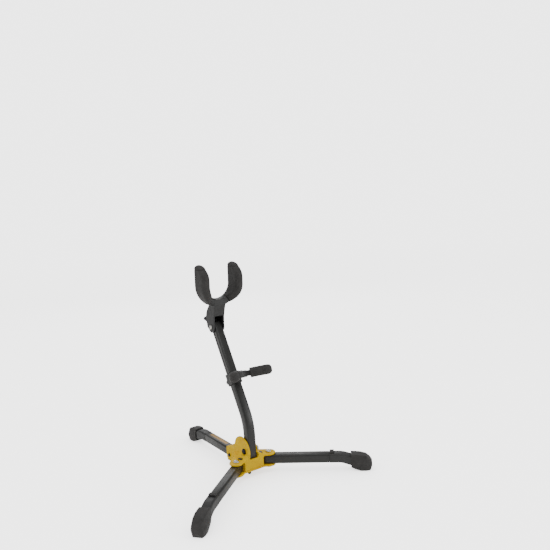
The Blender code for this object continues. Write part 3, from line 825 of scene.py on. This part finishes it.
class PieceTree:
    """A node group with named inputs, which ends as plain geometry with its finish on."""

    def __init__(self, name: str, inputs: dict[str, str]) -> None:
        """Build the group once.

        Args:
            name: Its name.
            inputs: The kind of each input that its shape needs, by name.
        """
        self.tree = bpy.data.node_groups.new(name, "GeometryNodeTree")
        sockets = self.tree.interface
        for key, kind in {**inputs, "Finish": "Material"}.items():
            sockets.new_socket(key, in_out="INPUT", socket_type="NodeSocket" + kind)
        sockets.new_socket("Geometry", in_out="OUTPUT", socket_type="NodeSocketGeometry")
        start = add_node(self.tree, "NodeGroupInput")
        real = add_node(self.tree, "GeometryNodeRealizeInstances", {"Geometry": self.shape(start)})
        dressed = add_node(
            self.tree, "GeometryNodeSetMaterial", {"Geometry": real, "Material": start.outputs["Finish"]}
        )
        add_node(self.tree, "NodeGroupOutput", {0: dressed})
        self.keys = {item.name: item.identifier for item in sockets.items_tree if item.in_out == "INPUT"}

    def shape(self, start: Node) -> Node:
        """Build the nodes between the group's inputs, which start gives, and its plain geometry."""
        raise NotImplementedError

    def run(self, piece: Object, inputs: dict[str, Any], wear: float) -> Object:
        """Make a piece from the group and turn it into plain mesh.

        Args:
            piece: The object whose mesh the group starts from.
            inputs: The value of each input, by name.
            wear: How much the piece shows its worn corners.

        Returns:
            The piece.
        """
        step = piece.modifiers.new("Tree", "NODES")
        step.node_group = self.tree
        for key, value in inputs.items():
            step[self.keys[key]] = value
        flatten(piece)
        mark_wear(piece.data, wear)
        return piece


class FastenerTree(PieceTree):
    """A node group that puts a fastener on every point of a mesh, facing out and spun by chance."""

    def __init__(self) -> None:
        """Name the inputs: the points, the fastener, its scale and the seed of its turns."""
        inputs = {"Geometry": "Geometry", "Pattern": "Object", "Scale": "Float", "Seed": "Int"}
        super().__init__("fasteners_on_points", inputs)

    def shape(self, start: Node) -> Node:
        """Copy the fastener to each point, turned to face out.

        Args:
            start: The node that gives the group's inputs.

        Returns:
            The node that gives the copies.
        """
        facing = add_node(
            self.tree, "GeometryNodeInputNamedAttribute", {"Name": "facing"}, data_type="FLOAT_VECTOR"
        )
        aligned = add_node(self.tree, "FunctionNodeAlignRotationToVector", {"Vector": facing}, axis="Z")
        chance = add_node(
            self.tree,
            "FunctionNodeRandomValue",
            {0: (0.0, 0.0, 0.0), 1: (0.0, 0.0, pi / 3), "Seed": start.outputs["Seed"]},
            data_type="FLOAT_VECTOR",
        )
        spin = add_node(self.tree, "FunctionNodeEulerToRotation", {0: chance})
        turned = add_node(
            self.tree,
            "FunctionNodeRotateRotation",
            {"Rotation": aligned, "Rotate By": spin},
            rotation_space="LOCAL",
        )
        pattern = add_node(self.tree, "GeometryNodeObjectInfo", {"Object": start.outputs["Pattern"]})
        return add_node(
            self.tree,
            "GeometryNodeInstanceOnPoints",
            {
                "Points": start.outputs["Geometry"],
                "Instance": pattern.outputs["Geometry"],
                "Rotation": turned,
                "Scale": start.outputs["Scale"],
            },
        )

    def place(self, name: str, pattern: DomeScrew | HexNut, spots: Spots, finish: Finish) -> Object:
        """Put a fastener at each spot.

        Args:
            name: The new piece's name.
            pattern: The fastener.
            spots: Where each one's seat is, and which way its head looks.
            finish: Its finish.

        Returns:
            One plain mesh with all of them.
        """
        shape = new_piece(name + "_pattern", pattern.mesh(name + "_pattern"))
        shape.hide_render = True
        points = bpy.data.meshes.new(name)
        points.from_pydata([spot for spot, _ in spots], [], [])
        layer = points.attributes.new("facing", "FLOAT_VECTOR", "POINT")
        layer.data.foreach_set("vector", [value for _, way in spots for value in way])
        inputs = {"Pattern": shape, "Finish": finish.build(), "Scale": 1.0, "Seed": TURN_SEEDS[name]}
        piece = self.run(new_piece(name, points), inputs, FASTENER_WEAR)
        bpy.data.objects.remove(shape)
        return piece


class SpringTree(PieceTree):
    """A node group that winds a wire into a spring of closed round turns."""

    def __init__(self) -> None:
        """Name the inputs: the sizes of the spring."""
        sizes = ("Radius", "Height", "Turns", "Wire")
        super().__init__("wound_spring", dict.fromkeys(sizes, "Float"))

    def shape(self, start: Node) -> Node:
        """Sweep a round wire along a spiral.

        Args:
            start: The node that gives the group's inputs.

        Returns:
            The node that gives the smooth wire.
        """
        path = add_node(
            self.tree,
            "GeometryNodeCurveSpiral",
            {
                "Resolution": 28,
                "Rotations": start.outputs["Turns"],
                "Start Radius": start.outputs["Radius"],
                "End Radius": start.outputs["Radius"],
                "Height": start.outputs["Height"],
            },
        )
        wire = add_node(
            self.tree,
            "GeometryNodeCurvePrimitiveCircle",
            {"Resolution": 10, "Radius": start.outputs["Wire"]},
            mode="RADIUS",
        )
        wound = add_node(
            self.tree, "GeometryNodeCurveToMesh", {"Curve": path, "Profile Curve": wire, "Fill Caps": True}
        )
        return add_node(self.tree, "GeometryNodeSetShadeSmooth", {"Geometry": wound, "Shade Smooth": True})

    def wind(self, name: str, sizes: dict[str, float], place: Matrix, finish: Finish) -> Object:
        """Wind a spring and put it in its place.

        Args:
            name: The new piece's name.
            sizes: The radius of the middle of the wire, the height, the turns and the wire's radius.
            place: The matrix that takes its Z axis to where it belongs.
            finish: Its finish.

        Returns:
            The spring as a plain mesh.
        """
        inputs = {**sizes, "Finish": finish.build()}
        piece = self.run(new_piece(name, bpy.data.meshes.new(name)), inputs, SPRING_WEAR)
        piece.data.transform(place)
        return piece


# ---------------------------------------------------------------- places from the frame


def middle(node: str) -> Vector:
    """The middle of a CAD node's box."""
    low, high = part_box(node)
    return (low + high) / 2


def joint(name: str) -> dict[str, Any]:
    """A joint of the record, by name."""
    return next(item for item in frame["joints"] if item["name"] == name)


def axis_frame(origin: Vector, along: Vector) -> Matrix:
    """A matrix whose Z runs along, at the origin given."""
    return Matrix.Translation(origin) @ along.normalized().to_track_quat("Z", "Y").to_matrix().to_4x4()

# ---------------------------------------------------------------- the stand


@dataclass
class Assembly:
    """What every sub-assembly shares: its body in the frame, and how it keeps its pieces."""

    body: str

    def keep(self, piece: Object, finish: Finish, nodes: Sequence[str], body: str = "") -> None:
        """Dress a piece, tie it to its body and let it stand for its CAD nodes.

        Args:
            piece: The finished object.
            finish: Its finish.
            nodes: The CAD nodes that it stands for.
            body: The body it rides on, if it isn't the assembly's own.
        """
        made = finish.build()
        piece.data.materials.clear()
        piece.data.materials.append(made)
        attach(piece, body or self.body)
        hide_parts(*nodes)
        log.info("%s rides on %s, %d faces", piece.name, body or self.body, len(piece.data.polygons))

    def fasten(
        self,
        tree: FastenerTree,
        name: str,
        pattern: DomeScrew | HexNut,
        spots: Spots,
        finish: Finish,
        nodes: Sequence[str],
    ) -> None:
        """Put a fastener at each spot and keep them as one piece.

        Args:
            tree: The node group that places fasteners.
            name: The new piece's name.
            pattern: The fastener.
            spots: Where each one's seat is, and which way its head looks.
            finish: Its finish.
            nodes: The CAD nodes that the piece stands for.
        """
        self.keep(tree.place(name, pattern, spots, finish), finish, nodes)

    def cross_bolt(
        self,
        tree: FastenerTree,
        name: str,
        screw: DomeScrew,
        nut: HexNut,
        centre: Vector,
        screw_finish: Finish,
    ) -> None:
        """Put a pivot's screw in from the left, and its plated nut on the right.

        Args:
            tree: The node group that places fasteners.
            name: What the names of both pieces and of their CAD nodes start with.
            screw: The screw.
            nut: The nut.
            centre: A point on the pivot's axis.
            screw_finish: The screw's finish.
        """
        bolt_node, nut_node = name + "_pivot_bolt", name + "_pivot_nut"
        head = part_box(bolt_node)[0].x + screw.head_height * MM
        spots = [(Vector((head, centre.y, centre.z)), Facing.LEFT.way)]
        self.fasten(tree, name + "_bolt", screw, spots, screw_finish, [bolt_node])
        spots = [(Vector((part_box(nut_node)[0].x, centre.y, centre.z)), Facing.RIGHT.way)]
        self.fasten(tree, name + "_nut", nut, spots, NICKEL_PLATE, [nut_node])


@dataclass
class Hub(Assembly):
    """The yellow casting, its base plate, the leg buttons and every screw that they take."""

    body: str = "base"
    casting_mould: Mould = Mould(0.8, 7)
    plate_mould: Mould = Mould(0.9, 4)
    button_mould: Mould = Mould(0.35, 5)
    button_relief_mm: float = 1.3
    leg_screw: DomeScrew = DomeScrew(5.5, 3.1, 3.2, 3.0, 10.0)
    mast_screw: DomeScrew = DomeScrew(5.7, 3.4, 3.6, 3.0, 10.0)
    small_screw: DomeScrew = DomeScrew(3.5, 2.1, 2.2, 1.8, 8.0)
    base_screw: DomeScrew = DomeScrew(3.5, 4.6, 2.2, 1.6, 8.0)
    leg_nut: HexNut = HexNut(9.4, 3.6, 3.0, 1.0)
    mast_nut: HexNut = HexNut(9.0, 3.0, 3.0, 0.7)

    def casting(self) -> None:
        """The casting and the plate under it, with cast fillets."""
        for name, node, mould in (
            ("hub_casting", "hub_housing", self.casting_mould),
            ("hub_plate", "hub_base_plate", self.plate_mould),
        ):
            self.keep(moulded(name, [node], mould), YELLOW_CASTING, [node])

    def fasteners(self, tree: FastenerTree) -> None:
        """The pivot bolts with their nuts, the rear leg's screws and the base screws.

        Args:
            tree: The node group that places fasteners.
        """
        up, down = Facing.UP.way, Facing.DOWN.way
        for side in ("left", "right"):
            bolt, nut = side + "_leg_pivot_bolt", side + "_leg_pivot_nut"
            centre, top = middle(bolt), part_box(bolt)[1].z
            seat = Vector((centre.x, centre.y, top - self.leg_screw.head_height * MM))
            name = side + "_leg_bolt"
            self.fasten(tree, name, self.leg_screw, [(seat, up)], NICKEL_PLATE, [bolt])
            centre, top = middle(nut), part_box(nut)[1].z
            seat = Vector((centre.x, centre.y, top))
            name = side + "_leg_nut"
            self.fasten(tree, name, self.leg_nut, [(seat, down)], NICKEL_PLATE, [nut])
        centre = middle("mast_pivot_bolt")
        self.cross_bolt(tree, "mast", self.mast_screw, self.mast_nut, centre, BLACK_OXIDE)
        names = ["rear_leg_screw_left", "rear_leg_screw_right"]
        spots = []
        for node, facing in zip(names, (Facing.LEFT, Facing.RIGHT)):
            low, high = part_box(node)
            spot, way = middle(node), facing.way
            edge = low.x if facing is Facing.LEFT else high.x
            head = edge - way.x * self.small_screw.head_height * MM
            spots.append((Vector((head, spot.y, spot.z)), way))
        self.fasten(tree, "rear_leg_screws", self.small_screw, spots, BLACK_OXIDE, names)
        names = ["base_screw_front", "base_screw_rear_left", "base_screw_rear_right"]
        spots = []
        for node in names:
            spot, head = middle(node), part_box(node)[0].z + self.base_screw.head_height * MM
            spots.append((Vector((spot.x, spot.y, head)), down))
        self.fasten(tree, "base_screws", self.base_screw, spots, BLACK_OXIDE, names)

    def buttons(self) -> None:
        """The two buttons that free the front legs, each on its own body."""
        for side in ("left", "right"):
            node = side + "_leg_lock_button"
            piece = moulded(side + "_button", [node], self.button_mould)
            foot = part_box(node)[0].z + self.button_relief_mm * MM
            for vertex in piece.data.vertices:
                vertex.co.z = max(vertex.co.z, foot)
            self.keep(piece, MOULDED_NYLON, [node], body=side + "_button")


@dataclass
class Leg(Assembly):
    """A square tube with its end plug and elbow, the rubber boot and the bumper on a front leg."""

    side: str = "left"
    tube_bevel_mm: float = 0.35
    plug_bevel_mm: float = 0.4
    elbow_mould: Mould = Mould(0.7, 4)
    boot_mould: Mould = Mould(0.8, 8)
    bumper_mould: Mould = Mould(0.3, 5)
    tube_finish: Finish = SATIN_POWDER_COAT

    def build(self) -> None:
        """Make and dress each piece of the leg."""
        side = self.side
        tube, elbow, boot = side + "_leg_tube", side + "_leg_elbow", side + "_foot"
        plug, bumper = side + "_leg_end_plug", side + "_leg_bumper"
        self.keep(machined(side + "_tube", tube, self.tube_bevel_mm), self.tube_finish, [tube])
        self.keep(moulded(side + "_elbow", [elbow], self.elbow_mould), MOULDED_NYLON, [elbow])
        self.keep(moulded(side + "_boot", [boot], self.boot_mould), MOULDED_RUBBER, [boot])
        self.keep(machined(side + "_plug", plug, self.plug_bevel_mm), MOULDED_NYLON, [plug])
        if bumper in frame["nodes"]:
            piece = moulded(side + "_bumper", [bumper], self.bumper_mould)
            self.keep(piece, MOULDED_RUBBER, [bumper])


@dataclass
class Mast(Assembly):
    """The bent tube and the moulded plug in each of its ends."""

    body: str = "mast"
    tube_bevel_mm: float = 0.35
    plug_bevel_mm: float = 0.5

    def build(self) -> None:
        """Make and dress the tube and its plugs."""
        tube = machined("mast", "mast_tube", self.tube_bevel_mm)
        self.keep(tube, SATIN_POWDER_COAT, ["mast_tube"])
        for end in ("foot", "top"):
            node = "mast_" + end + "_plug"
            self.keep(machined("mast_" + end, node, self.plug_bevel_mm), MOULDED_NYLON, [node])


@dataclass
class LowerRest(Assembly):
    """The sliding collar, its clamp knob and the padded cradle that tilts on it.

    The knob's screw is given by radius and height, and its grip and dished end by share of the
    knob's radius and height. Heights are from the mast's middle line.
    """

    body: str = "lower_rest"
    collar_mould: Mould = Mould(0.55, 4)
    fork_mould: Mould = Mould(0.5, 3)
    pad_mould: Mould = Mould(0.7, 4)
    screw: DomeScrew = DomeScrew(4.5, 2.5, 2.6, 2.5, 10.0)
    nut: HexNut = HexNut(7.8, 3.2, 2.5, 0.9)
    knob_radius_mm: float = 5.4
    knob_flutes: int = 9
    knob_flute_depth: float = 0.07
    knob_screw: tuple[tuple[float, float], ...] = ((1.9, 9.8), (2.4, 10.3), (2.4, 18.3))
    knob_grip: tuple[tuple[float, float], ...] = (
        (0.9, 18.4),
        (1.0, 19.0),
        (1.0, 24.6),
        (0.95, 25.8),
        (0.8, 26.6),
    )
    knob_dish: tuple[tuple[float, float], ...] = ((0.5, 26.9), (0.42, 26.5))
    knob_crisp_angle: float = radians(50)

    def collar(self, tree: FastenerTree) -> None:
        """The collar and the bolt and nut through its knuckle.

        Args:
            tree: The node group that places fasteners.
        """
        piece = moulded("height_collar", ["rest_collar"], self.collar_mould)
        self.keep(piece, MOULDED_NYLON, ["rest_collar"])
        pivot = Vector(joint("rest_tilt")["pos_m"])
        self.cross_bolt(tree, "rest", self.screw, self.nut, pivot, NICKEL_PLATE)

    def knob(self) -> None:
        """The fluted knob that clamps the collar, with its screw running in to the mast."""
        turning = joint("height_knob_turn")
        place = axis_frame(Vector(turning["pos_m"]), Vector(turning["axis"]))
        flutes, depth, size = self.knob_flutes, self.knob_flute_depth, self.knob_radius_mm * MM

        def grip(share: float) -> Outline:
            """The knob's outline at a share of its full radius."""
            return lambda turn: size * share * (1 - depth * (0.5 - 0.5 * cos(flutes * turn)))

        rings = [ring(round_at(radius * MM), height * MM) for radius, height in self.knob_screw]
        rings += [ring(grip(share), height * MM) for share, height in self.knob_grip]
        rings += [ring(round_at(size * share), height * MM) for share, height in self.knob_dish]
        mesh = loft("clamp_knob", rings)
        mesh.transform(place)
        mesh.shade_smooth()
        mesh.set_sharp_from_angle(angle=self.knob_crisp_angle)
        piece = new_piece("clamp_knob", mesh)
        mark_wear(mesh, MACHINED_WEAR)
        self.keep(piece, MOULDED_NYLON, ["rest_height_knob"], body="height_knob")

    def cradle(self) -> None:
        """The steel fork and the rubber on each of its arms."""
        fork = moulded("cradle_fork", ["rest_arm"], self.fork_mould)
        self.keep(fork, SATIN_POWDER_COAT, ["rest_arm"], body="rest_cradle")
        for side in ("left", "right"):
            for part in ("rubber", "cap"):
                node = side + "_rest_" + part
                piece = moulded(side + "_cradle_" + part, [node], self.pad_mould)
                self.keep(piece, MOULDED_RUBBER, [node], body="rest_cradle")


@dataclass
class Yoke(Assembly):
    """The hinged bracket, the steel arch, the rubber that holds the bell and the locking pin."""

    body: str = "yoke"
    bracket_mould: Mould = Mould(0.6, 4)
    fin_mould: Mould = Mould(0.9, 8)
    cap_mould: Mould = Mould(0.6, 4)
    core_bevel_mm: float = 0.4
    pin_bevel_mm: float = 0.3
    screw: DomeScrew = DomeScrew(4.7, 2.5, 2.8, 3.0, 10.0)
    nut: HexNut = HexNut(8.8, 3.2, 3.0, 0.9)
    spring_turns: float = 8.0
    spring_radius_mm: float = 3.15
    spring_wire_mm: float = 0.4
    spring_share: float = 0.78

    def bracket(self, tree: FastenerTree) -> None:
        """The bracket with its hinge bolt, and the arch that runs through it.

        Args:
            tree: The node group that places fasteners.
        """
        piece = moulded("yoke_hinge_bracket", ["yoke_bracket"], self.bracket_mould)
        self.keep(piece, MOULDED_NYLON, ["yoke_bracket"])
        core = machined("yoke_core", "yoke_arch", self.core_bevel_mm)
        self.keep(core, SATIN_POWDER_COAT, ["yoke_arch"])
        pivot = Vector(joint("yoke_fold")["pos_m"])
        self.cross_bolt(tree, "yoke", self.screw, self.nut, pivot, NICKEL_PLATE)

    def fins(self) -> None:
        """The rubber on each arm, and the harder cap on its tip."""
        for side in ("left", "right"):
            node = side + "_yoke_rubber"
            self.keep(moulded(side + "_fin", [node], self.fin_mould), MOULDED_RUBBER, [node])
            node = side + "_yoke_cap"
            self.keep(moulded(side + "_fin_cap", [node], self.cap_mould), MOULDED_RUBBER, [node])

    def lock(self, springs: SpringTree) -> None:
        """The pull pin and the spring round it, which is a share of its CAD sleeve's length.

        Args:
            springs: The node group that winds springs.
        """
        piece = machined("yoke_pull_pin", "yoke_lock_plunger", self.pin_bevel_mm)
        self.keep(piece, BLACK_OXIDE, ["yoke_lock_plunger"], body="yoke_plunger")
        way = Vector(joint("yoke_plunger_pull")["axis"]).normalized()
        low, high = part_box("yoke_plunger_spring")
        length = (high.y - low.y) * self.spring_share
        place = axis_frame(middle("yoke_plunger_spring") - way * length / 2, way)
        sizes = {
            "Radius": self.spring_radius_mm * MM,
            "Height": length,
            "Turns": self.spring_turns,
            "Wire": self.spring_wire_mm * MM,
        }
        piece = springs.wind("yoke_spring", sizes, place, NICKEL_PLATE)
        self.keep(piece, NICKEL_PLATE, ["yoke_plunger_spring"])


# ---------------------------------------------------------------- the studio


@dataclass(frozen=True)
class SoftBox:
    """A square lamp: its name, its place and side in metres, and its power in watts."""

    name: str
    place: tuple[float, float, float]
    side: float
    power: float

    def light(self, target: Vector) -> None:
        """Put the lamp in the scene, looking at a point.

        Args:
            target: The point.
        """
        data = bpy.data.lights.new(self.name, "AREA")
        data.shape = "SQUARE"
        data.size = self.side
        data.energy = self.power
        lamp = bpy.data.objects.new(self.name, data)
        turn = (target - Vector(self.place)).to_track_quat("-Z", "Y")
        lamp.matrix_world = Matrix.Translation(self.place) @ turn.to_matrix().to_4x4()
        bpy.context.scene.collection.objects.link(lamp)


@dataclass
class Studio:
    """A pale floor, a white surround, soft boxes on both sides, above and behind, and the camera.

    The floor's glow rises from its middle to the surround's, less what the surround lights on it.
    """

    floor_rings: tuple[float, ...] = (0.6, 2.0, 6.0, 14.0)
    floor_sides: int = 96
    floor_tone: str = "F4F3F1"
    floor_reflects: float = 0.92
    floor_glow: float = 3.0
    glow_rises: tuple[float, float] = (0.5, 6.0)
    floor_shine: float = 0.4
    # The painted contact shadow on the floor: the least share of its glow kept where the stand is closest,
    # how far that darkening reaches, and its samples.
    painted_shadow_least: float = 0.45
    painted_shadow_reach: float = 0.09
    painted_shadow_samples: int = 16
    sky_seen: float = 3.7
    sky_light: float = 0.5
    target: tuple[float, float, float] = (0.0, 0.0, 0.18)
    lens: float = 38.95
    sensor: float = 36.0
    eye: tuple[float, float, float] = (-0.5629, -0.9943, 0.5071)
    right: tuple[float, float, float] = (0.82031, -0.56899, -0.05780)
    up: tuple[float, float, float] = (0.11162, 0.06015, 0.99193)
    forward: tuple[float, float, float] = (0.56092, 0.82014, -0.11285)
    lamps: tuple[SoftBox, ...] = (
        SoftBox("left_light", (-2.0, -0.1, 1.1), 1.2, 9.0),
        SoftBox("right_light", (1.5, -1.7, 0.8), 1.2, 13.0),
        SoftBox("top_light", (-0.3, -0.5, 2.3), 1.4, 15.0),
        SoftBox("back_light", (0.9, 1.7, 1.3), 1.4, 9.0),
    )

    def camera(self) -> None:
        """Set the camera at the height and angle of the view."""
        data = bpy.data.cameras.new("camera")
        data.lens = self.lens
        data.sensor_width = self.sensor
        eye = bpy.data.objects.new("camera", data)
        axes = Matrix((self.right, self.up, -Vector(self.forward))).transposed()
        eye.matrix_world = Matrix.Translation(self.eye) @ axes.to_4x4()
        bpy.context.scene.collection.objects.link(eye)
        bpy.context.scene.camera = eye

    def floor_mesh(self) -> Mesh:
        """A round sheet at Z = 0, with rings that widen outwards.

        Returns:
            The mesh, with its faces pointing up.
        """
        sides = self.floor_sides
        bm = bmesh.new()
        loops = []
        for radius in self.floor_rings:
            turns = [2 * pi * i / sides for i in range(sides)]
            loops.append([bm.verts.new((radius * cos(t), radius * sin(t), 0.0)) for t in turns])
        bm.faces.new(loops[0])
        for first, second in zip(loops, loops[1:]):
            for i in range(sides):
                j = (i + 1) % sides
                bm.faces.new((first[i], second[i], second[j], first[j]))
        mesh = bpy.data.meshes.new("floor")
        bm.to_mesh(mesh)
        bm.free()
        return mesh

    def floor(self) -> None:
        """A large round floor that is bright to the eye, takes a real soft shadow in its diffuse part, and
        has a painted contact shadow where its glow is darkened near the stand.
        """
        mesh = self.floor_mesh()
        made = bpy.data.materials.new("pale_floor")
        made.use_nodes = True
        tree = made.node_tree
        tree.nodes.clear()
        diffuse = add_node(tree, "ShaderNodeBsdfDiffuse", {"Color": colour(self.floor_tone)})
        path = add_node(tree, "ShaderNodeLightPath")
        coordinates = add_node(tree, "ShaderNodeTexCoord")
        far = add_node(tree, "ShaderNodeVectorMath", {0: coordinates.outputs["Object"]}, operation="LENGTH")
        rise = add_node(
            tree,
            "ShaderNodeMapRange",
            {
                "Value": far.outputs["Value"],
                "From Min": self.glow_rises[0],
                "From Max": self.glow_rises[1],
                "To Min": self.floor_glow,
                "To Max": self.sky_seen - self.sky_light * self.floor_reflects,
            },
        )
        # Painted contact shadow: ambient occlusion darkens the floor's glow near the stand, down to the least
        # share set above.
        near = add_node(
            tree, "ShaderNodeAmbientOcclusion", {"Distance": self.painted_shadow_reach}, samples=self.painted_shadow_samples
        )
        shade = add_node(tree, "ShaderNodeMapRange", {"Value": near.outputs["AO"], "To Min": self.painted_shadow_least})
        glow_with_painted_shadow = add_node(tree, "ShaderNodeMath", {0: rise, 1: shade}, operation="MULTIPLY")
        seen = add_node(
            tree, "ShaderNodeMath", {0: path.outputs["Is Camera Ray"], 1: glow_with_painted_shadow}, operation="MULTIPLY"
        )
        shine = add_node(
            tree,
            "ShaderNodeMath",
            {0: path.outputs["Is Glossy Ray"], 1: self.floor_shine, 2: seen},
            operation="MULTIPLY_ADD",
        )
        glow = add_node(tree, "ShaderNodeEmission", {"Color": WHITE, "Strength": shine})
        both = add_node(tree, "ShaderNodeAddShader", {0: diffuse, 1: glow})
        add_node(tree, "ShaderNodeOutputMaterial", {"Surface": both})
        mesh.materials.append(made)
        new_piece("floor", mesh)

    def sky(self) -> None:
        """A white surround that is bright to the eye and gentle as a light."""
        world = bpy.data.worlds.new("studio")
        world.use_nodes = True
        tree = world.node_tree
        tree.nodes.clear()
        path = add_node(tree, "ShaderNodeLightPath")
        power = add_node(
            tree,
            "ShaderNodeMapRange",
            {"Value": path.outputs["Is Camera Ray"], "To Min": self.sky_light, "To Max": self.sky_seen},
        )
        back = add_node(tree, "ShaderNodeBackground", {"Color": WHITE, "Strength": power})
        add_node(tree, "ShaderNodeOutputWorld", {"Surface": back})
        bpy.context.scene.world = world

    def build(self) -> None:
        """Set the camera, the floor, the surround and the lamps."""
        self.camera()
        self.floor()
        self.sky()
        for lamp in self.lamps:
            lamp.light(Vector(self.target))


# ---------------------------------------------------------------- the whole


# Where the stripe starts and ends inside the rear tube, and how far under its top, in metres.
STRIPE_START = 0.055
STRIPE_END = 0.012
STRIPE_UNDER = 0.0004


def striped_coat() -> StripedFinish:
    """The legs' powder coat with the rear leg's stripe, placed from the box of its tube.

    Returns:
        The finish.
    """
    low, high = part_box("rear_leg_tube")
    same = {**asdict(SATIN_POWDER_COAT), "name": "striped_black_powder_coat"}
    return StripedFinish(
        **same,
        stripe_from=low.y + STRIPE_START,
        stripe_to=high.y - STRIPE_END,
        stripe_above=high.z - STRIPE_UNDER,
    )


def main() -> None:
    """Build the studio and each part of the stand in order."""
    logging.basicConfig(level=logging.INFO, format="%(message)s")
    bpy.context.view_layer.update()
    Studio().build()
    tree, springs = FastenerTree(), SpringTree()
    hub = Hub()
    hub.casting()
    hub.fasteners(tree)
    hub.buttons()
    Leg(body="base", side="rear", tube_finish=striped_coat()).build()
    for side in ("left", "right"):
        Leg(body=side + "_leg", side=side).build()
    Mast().build()
    rest = LowerRest()
    rest.collar(tree)
    rest.knob()
    rest.cradle()
    yoke = Yoke()
    yoke.bracket(tree)
    yoke.fins()
    yoke.lock(springs)


if __name__ == "__main__":
    main()
